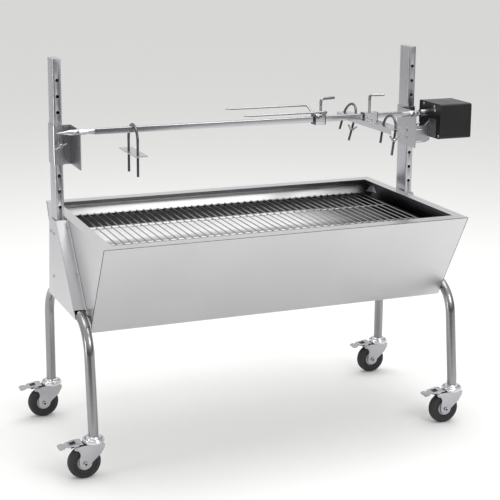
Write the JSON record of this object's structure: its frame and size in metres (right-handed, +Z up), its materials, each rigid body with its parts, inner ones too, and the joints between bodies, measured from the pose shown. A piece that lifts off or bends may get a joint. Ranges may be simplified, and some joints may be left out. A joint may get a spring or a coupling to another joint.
{
  "type": "rotisserie spit roaster",
  "caption": "Wheeled charcoal spit roaster: sloped steel trough with wire grate, upright posts, sliding spit carriers, square spit with fork and clamps, and a black drive motor.",
  "frame": {"origin": "on the floor under the middle of the whole object's box", "axes": "+X along the spit towards the motor, +Y from the low front of the view to the posts' side at the back, +Z up"},
  "size_m": [1.2416, 0.586, 1.021],
  "materials": {
    "polished_steel": "bright ground stainless sheet",
    "post_steel": "satin stainless section",
    "bar_steel": "ground bar",
    "chrome": "bright",
    "zinc": "zinc plated pressed steel",
    "rod_zinc": "plated threaded rod",
    "tyre": "dark grey rubber",
    "hub": "grey moulded",
    "motor_black": "fine textured black",
    "gear_brass": "cut brass"
  },
  "bodies": {
    "frame": {"trough": "polished_steel", "charcoal_pan": "polished_steel", "left_end_housing": "polished_steel", "right_end_housing": "polished_steel", "left_post": "post_steel", "right_post": "post_steel", "left_leg_frame": "post_steel", "right_leg_frame": "post_steel", "front_left_caster_cup": "chrome", "rear_left_caster_cup": "chrome", "front_right_caster_cup": "chrome", "rear_right_caster_cup": "chrome"},
    "grate": {"wire_grate": "chrome"},
    "right_carriage": {"right_slider": "post_steel", "motor_bracket": "zinc", "motor_housing": "motor_black", "motor_cover": "motor_black", "gearmotor": "zinc", "cable_gland": "motor_black"},
    "left_carriage": {"left_slider": "post_steel"},
    "right_wing_screw": {"right_wing_screw": "zinc"},
    "left_wing_screw": {"left_wing_screw": "zinc"},
    "spit_drive": {"spit": "bar_steel", "drive_coupling": "zinc", "output_gear": "gear_brass"},
    "pinion": {"motor_pinion": "gear_brass"},
    "rocker": {"power_rocker": "motor_black"},
    "spine_bolt": {"spine_u_bolt": "rod_zinc"},
    "spine_plate": {"spine_plate": "bar_steel", "spine_nut_front": "zinc", "spine_nut_rear": "zinc"},
    "fork": {"meat_fork": "bar_steel"},
    "fork_screw": {"fork_screw": "zinc"},
    "leg_clamp": {"leg_clamp_bar": "bar_steel"},
    "leg_clamp_screw": {"leg_clamp_screw": "zinc"},
    "j_bolt_front": {"leg_j_bolt_front": "rod_zinc"},
    "j_bolt_rear": {"leg_j_bolt_rear": "rod_zinc"},
    "wing_nut_front": {"leg_wing_nut_front": "zinc"},
    "wing_nut_rear": {"leg_wing_nut_rear": "zinc"},
    "front_left_caster": {"front_left_caster_fork": "chrome", "front_left_caster_axle": "zinc"},
    "front_left_caster_wheel": {"front_left_caster_tyre": "tyre", "front_left_caster_hub": "hub"},
    "front_left_caster_pedal": {"front_left_caster_brake_pedal": "zinc"},
    "rear_left_caster": {"rear_left_caster_fork": "chrome", "rear_left_caster_axle": "zinc"},
    "rear_left_caster_wheel": {"rear_left_caster_tyre": "tyre", "rear_left_caster_hub": "hub"},
    "rear_left_caster_pedal": {"rear_left_caster_brake_pedal": "zinc"},
    "front_right_caster": {"front_right_caster_fork": "chrome", "front_right_caster_axle": "zinc"},
    "front_right_caster_wheel": {"front_right_caster_tyre": "tyre", "front_right_caster_hub": "hub"},
    "front_right_caster_pedal": {"front_right_caster_brake_pedal": "zinc"},
    "rear_right_caster": {"rear_right_caster_fork": "chrome", "rear_right_caster_axle": "zinc"},
    "rear_right_caster_wheel": {"rear_right_caster_tyre": "tyre", "rear_right_caster_hub": "hub"},
    "rear_right_caster_pedal": {"rear_right_caster_brake_pedal": "zinc"}
  },
  "joints": [
    {"name": "grate_lift", "type": "slide", "parent": "frame", "child": "grate", "axis": [0, 0, 1], "range_m": [0, 0.025]},
    {"name": "right_carriage_height", "type": "slide", "parent": "frame", "child": "right_carriage", "axis": [0, 0, 1], "range_m": [-0.0833, 0.1666]},
    {"name": "left_carriage_height", "type": "slide", "parent": "frame", "child": "left_carriage", "axis": [0, 0, 1], "range_m": [-0.0833, 0.1666]},
    {"name": "right_wing_screw_turn", "type": "hinge", "parent": "right_carriage", "child": "right_wing_screw", "pos_m": [0.50225, 0.0672, 0.7992], "axis": [0, -1, 0], "range_deg": [0, 360]},
    {"name": "left_wing_screw_turn", "type": "hinge", "parent": "left_carriage", "child": "left_wing_screw", "pos_m": [-0.53075, 0.0672, 0.7992], "axis": [0, -1, 0], "range_deg": [0, 360]},
    {"name": "spit_turn", "type": "hinge", "parent": "right_carriage", "child": "spit_drive", "pos_m": [-0.01425, 0, 0.84], "axis": [1, 0, 0], "continuous": true},
    {"name": "pinion_turn", "type": "hinge", "parent": "right_carriage", "child": "pinion", "pos_m": [0.54075, -0.018, 0.816], "axis": [1, 0, 0], "continuous": true},
    {"name": "power_switch", "type": "hinge", "parent": "right_carriage", "child": "rocker", "pos_m": [0.61655, -0.04, 0.846], "axis": [0, 1, 0], "range_deg": [-12, 0]},
    {"name": "spine_clamp_slide", "type": "slide", "parent": "spit_drive", "child": "spine_bolt", "axis": [1, 0, 0], "range_m": [-0.08, 0.24]},
    {"name": "spine_plate_height", "type": "slide", "parent": "spine_bolt", "child": "spine_plate", "axis": [0, 0, 1], "range_m": [-0.035, 0.028]},
    {"name": "fork_slide", "type": "slide", "parent": "spit_drive", "child": "fork", "axis": [1, 0, 0], "range_m": [-0.2, 0.03]},
    {"name": "fork_screw_turn", "type": "hinge", "parent": "fork", "child": "fork_screw", "pos_m": [0.18455, 0, 0.87], "axis": [0, 0, 1], "range_deg": [0, 360]},
    {"name": "leg_clamp_slide", "type": "slide", "parent": "spit_drive", "child": "leg_clamp", "axis": [1, 0, 0], "range_m": [0, 0.07]},
    {"name": "leg_clamp_screw_turn", "type": "hinge", "parent": "leg_clamp", "child": "leg_clamp_screw", "pos_m": [0.33375, 0, 0.87], "axis": [0, 0, 1], "range_deg": [0, 360]},
    {"name": "j_bolt_front_slide", "type": "slide", "parent": "leg_clamp", "child": "j_bolt_front", "axis": [0.1392, 0, 0.9903], "range_m": [0, 0.006]},
    {"name": "wing_nut_front_turn", "type": "hinge", "parent": "j_bolt_front", "child": "wing_nut_front", "pos_m": [0.3293, -0.156, 0.79781], "axis": [0.1392, 0, 0.9903], "range_deg": [0, 360]},
    {"name": "j_bolt_rear_slide", "type": "slide", "parent": "leg_clamp", "child": "j_bolt_rear", "axis": [0.2756, 0, 0.9613], "range_m": [0, 0.006]},
    {"name": "wing_nut_rear_turn", "type": "hinge", "parent": "j_bolt_rear", "child": "wing_nut_rear", "pos_m": [0.32272, 0.084, 0.79105], "axis": [0.2756, 0, 0.9613], "range_deg": [0, 360]},
    {"name": "front_left_caster_swivel", "type": "hinge", "parent": "frame", "child": "front_left_caster", "pos_m": [-0.52975, -0.21853, 0.095], "axis": [0, 0, 1], "continuous": true},
    {"name": "front_left_caster_roll", "type": "hinge", "parent": "front_left_caster", "child": "front_left_caster_wheel", "pos_m": [-0.55475, -0.21853, 0.042], "axis": [0, 1, 0], "continuous": true},
    {"name": "front_left_caster_brake", "type": "hinge", "parent": "front_left_caster", "child": "front_left_caster_pedal", "pos_m": [-0.57625, -0.21853, 0.0828], "axis": [0, 1, 0], "range_deg": [-8, 0]},
    {"name": "rear_left_caster_swivel", "type": "hinge", "parent": "frame", "child": "rear_left_caster", "pos_m": [-0.52975, 0.225, 0.095], "axis": [0, 0, 1], "continuous": true},
    {"name": "rear_left_caster_roll", "type": "hinge", "parent": "rear_left_caster", "child": "rear_left_caster_wheel", "pos_m": [-0.55475, 0.225, 0.042], "axis": [0, 1, 0], "continuous": true},
    {"name": "rear_left_caster_brake", "type": "hinge", "parent": "rear_left_caster", "child": "rear_left_caster_pedal", "pos_m": [-0.57625, 0.225, 0.0828], "axis": [0, 1, 0], "range_deg": [-8, 0]},
    {"name": "front_right_caster_swivel", "type": "hinge", "parent": "frame", "child": "front_right_caster", "pos_m": [0.50125, -0.21853, 0.095], "axis": [0, 0, 1], "continuous": true},
    {"name": "front_right_caster_roll", "type": "hinge", "parent": "front_right_caster", "child": "front_right_caster_wheel", "pos_m": [0.47625, -0.21853, 0.042], "axis": [0, 1, 0], "continuous": true},
    {"name": "front_right_caster_brake", "type": "hinge", "parent": "front_right_caster", "child": "front_right_caster_pedal", "pos_m": [0.45475, -0.21853, 0.0828], "axis": [0, 1, 0], "range_deg": [-8, 0]},
    {"name": "rear_right_caster_swivel", "type": "hinge", "parent": "frame", "child": "rear_right_caster", "pos_m": [0.50125, 0.225, 0.095], "axis": [0, 0, 1], "continuous": true},
    {"name": "rear_right_caster_roll", "type": "hinge", "parent": "rear_right_caster", "child": "rear_right_caster_wheel", "pos_m": [0.47625, 0.225, 0.042], "axis": [0, 1, 0], "continuous": true},
    {"name": "rear_right_caster_brake", "type": "hinge", "parent": "rear_right_caster", "child": "rear_right_caster_pedal", "pos_m": [0.45475, 0.225, 0.0828], "axis": [0, 1, 0], "range_deg": [-8, 0]}
  ],
  "couplings": [
    {"joint": "left_carriage_height", "follows": "right_carriage_height", "ratio": 1},
    {"joint": "pinion_turn", "follows": "spit_turn", "ratio": -3}
  ]
}
